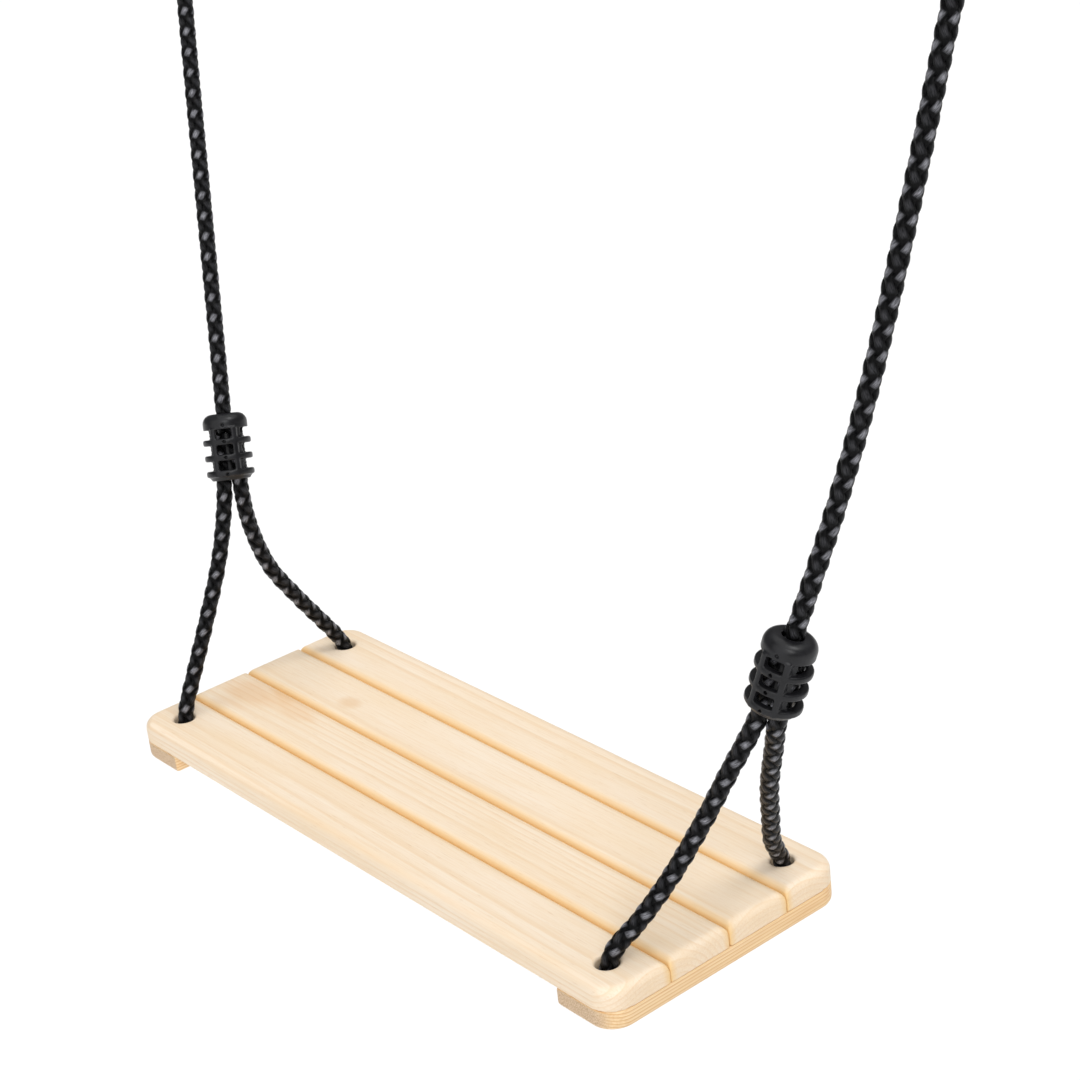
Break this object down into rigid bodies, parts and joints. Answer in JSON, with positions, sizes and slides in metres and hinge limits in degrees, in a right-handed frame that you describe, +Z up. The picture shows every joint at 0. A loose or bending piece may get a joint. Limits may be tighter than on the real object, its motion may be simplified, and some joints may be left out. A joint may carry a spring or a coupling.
{
  "type": "hanging swing seat",
  "caption": "Slatted wooden swing board with rounded corners, hung from two braided ropes that split into legs below moulded couplings and end in eyes on steel rings.",
  "frame": {"origin": "midway between the two hanging rings, at the height where their hooks touch them from inside", "axes": "+X along the board, +Y to its rear edge, +Z up"},
  "size_m": [0.726, 0.2232, 0.685],
  "materials": {
    "slat_pine": "smooth sanded pine, clear satin",
    "batten_pine": "sanded pine with straight dark grain",
    "zinc_screw": "bright zinc plated",
    "moulded_black": "satin moulded plastic",
    "black_rope": "glossy braided synthetic rope",
    "ring_steel": "bright zinc plated steel"
  },
  "bodies": {
    "rings": {"ring_left": "ring_steel", "ring_right": "ring_steel"},
    "hangers": {"upper_coupling_left": "moulded_black", "upper_coupling_right": "moulded_black", "eye_rope_left": "black_rope", "eye_rope_right": "black_rope", "thimble_left": "ring_steel", "thimble_right": "ring_steel"},
    "rope_left": {"main_rope_left": "black_rope"},
    "rope_right": {"main_rope_right": "black_rope"},
    "seat": {"slat_front": "slat_pine", "slat_front_middle": "slat_pine", "slat_rear_middle": "slat_pine", "slat_rear": "slat_pine", "batten_left": "batten_pine", "batten_right": "batten_pine", "screws_left": "zinc_screw", "screws_right": "zinc_screw", "coupling_left": "moulded_black", "coupling_right": "moulded_black", "seat_rope_left": "black_rope", "seat_rope_right": "black_rope"}
  },
  "joints": [
    {"name": "swing", "type": "hinge", "parent": "rings", "child": "hangers", "pos_m": [-0.335, 0, -0.044], "axis": [1, 0, 0], "range_deg": [-40, 60]},
    {"name": "sway", "type": "hinge", "parent": "hangers", "child": "rope_left", "pos_m": [-0.304, -0.027, -0.146], "axis": [0, 1, 0], "range_deg": [-3.5, 3.5]},
    {"name": "rope_right_bend", "type": "hinge", "parent": "hangers", "child": "rope_right", "pos_m": [0.325, -0.029, -0.15], "axis": [0, 1, 0], "range_deg": [-4, 4]},
    {"name": "seat_level", "type": "hinge", "parent": "rope_left", "child": "seat", "pos_m": [-0.2096, -0.1113, -0.4594], "axis": [0, 1, 0], "range_deg": [-5, 5]}
  ],
  "couplings": [
    {"joint": "rope_right_bend", "follows": "sway", "ratio": 1.0045},
    {"joint": "seat_level", "follows": "sway", "ratio": -1.3047}
  ]
}
